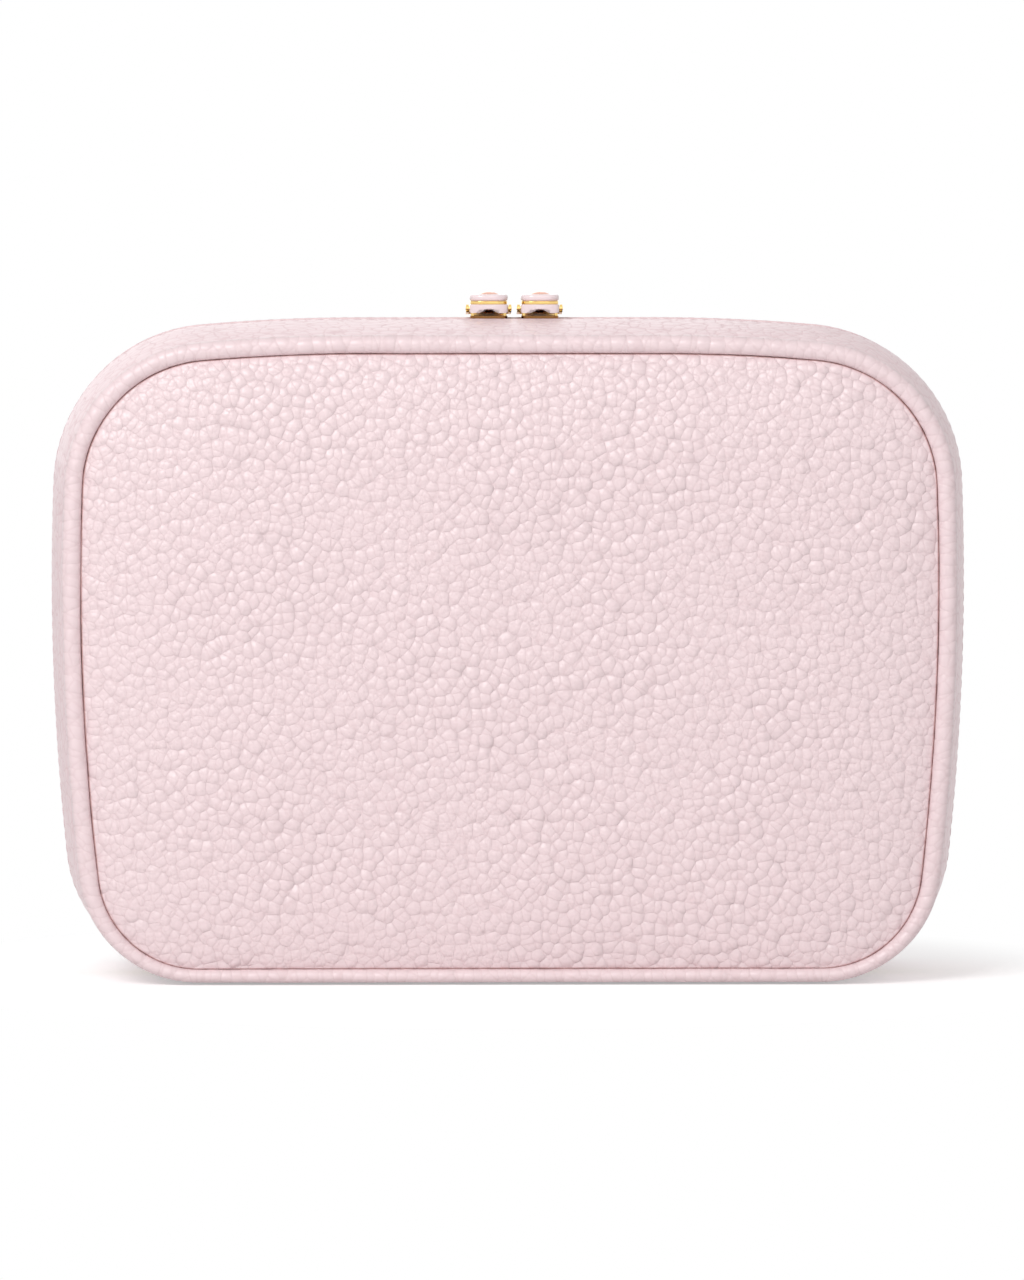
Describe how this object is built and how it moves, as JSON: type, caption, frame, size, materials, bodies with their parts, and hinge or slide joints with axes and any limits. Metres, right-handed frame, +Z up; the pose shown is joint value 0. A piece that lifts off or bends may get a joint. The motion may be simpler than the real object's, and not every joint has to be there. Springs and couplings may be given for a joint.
{
  "type": "makeup train case",
  "caption": "Soft-sided, zip-round makeup case with padded leather panels, thick piping, a hinged lid, zip sliders and a divided, lined inside.",
  "frame": {"origin": "middle of the face that the case stands on (its hinge side), at the bottom centre of its box", "axes": "+Z up, front panel faces -Y, +X to the right when the front is seen; the zip line lies in the plane y = 0"},
  "size_m": [0.2498, 0.09, 0.187],
  "materials": {
    "panel_leather": "pebbled full-grain, soft pearly sheen",
    "piping_leather": "pebbled leather stretched over a cord",
    "gusset_leather": "pebbled leather",
    "foam": "open-cell padding",
    "board": "pressed fibre board",
    "lining_cloth": "fine plain-weave lining",
    "divider_cloth": "padded cloth with bound edges",
    "hook_tape": "hook strip",
    "elastic": "ribbed elastic",
    "zip_tape": "herringbone zip tape",
    "zip_metal": "polished light gold",
    "gold": "polished",
    "rose_gold": "polished",
    "enamel": "pearl enamel on metal"
  },
  "bodies": {
    "root": {"back_panel": "panel_leather", "back_pad": "foam", "back_board": "board", "back_piping": "piping_leather", "back_gusset": "gusset_leather", "back_foam": "foam", "back_core": "board", "back_lining": "lining_cloth", "back_zip_tape": "zip_tape", "back_zip_teeth": "zip_metal", "back_hinge_strip": "gusset_leather", "back_hinge_lining": "lining_cloth", "zip_stops": "zip_metal", "long_divider": "divider_cloth", "left_divider": "divider_cloth", "right_divider": "divider_cloth", "lower_divider": "divider_cloth", "divider_hooks": "hook_tape"},
    "lid": {"front_panel": "panel_leather", "front_pad": "foam", "front_board": "board", "front_piping": "piping_leather", "front_gusset": "gusset_leather", "front_foam": "foam", "front_core": "board", "front_lining": "lining_cloth", "front_zip_tape": "zip_tape", "front_zip_teeth": "zip_metal", "front_hinge_strip": "gusset_leather", "front_hinge_lining": "lining_cloth", "lid_pocket": "lining_cloth", "pocket_binding": "elastic", "brush_band": "elastic"},
    "left_slider": {"left_slider": "gold", "left_crown": "enamel", "left_groove_band": "gold", "left_top_band": "enamel", "left_cap": "rose_gold", "left_rivet": "rose_gold", "left_pivots": "gold"},
    "left_pull": {"left_pull": "gold", "left_pull_inlay": "enamel"},
    "right_slider": {"right_slider": "gold", "right_crown": "enamel", "right_groove_band": "gold", "right_top_band": "enamel", "right_cap": "rose_gold", "right_rivet": "rose_gold", "right_pivots": "gold"},
    "right_pull": {"right_pull": "gold", "right_pull_inlay": "enamel"}
  },
  "joints": [
    {"name": "lid_hinge", "type": "hinge", "parent": "root", "child": "lid", "pos_m": [0, 0, 0], "axis": [1, 0, 0], "range_deg": [0, 180]},
    {"name": "left_slide", "type": "slide", "parent": "root", "child": "left_slider", "axis": [1, 0, 0], "range_m": [-0.038, 0]},
    {"name": "right_slide", "type": "slide", "parent": "root", "child": "right_slider", "axis": [1, 0, 0], "range_m": [0, 0.036]},
    {"name": "left_pull_hinge", "type": "hinge", "parent": "left_slider", "child": "left_pull", "pos_m": [-0.0052, 0, 0.1824], "axis": [1, 0, 0], "range_deg": [0, 185]},
    {"name": "right_pull_hinge", "type": "hinge", "parent": "right_slider", "child": "right_pull", "pos_m": [0.0088, 0, 0.1824], "axis": [1, 0, 0], "range_deg": [0, 185]}
  ]
}
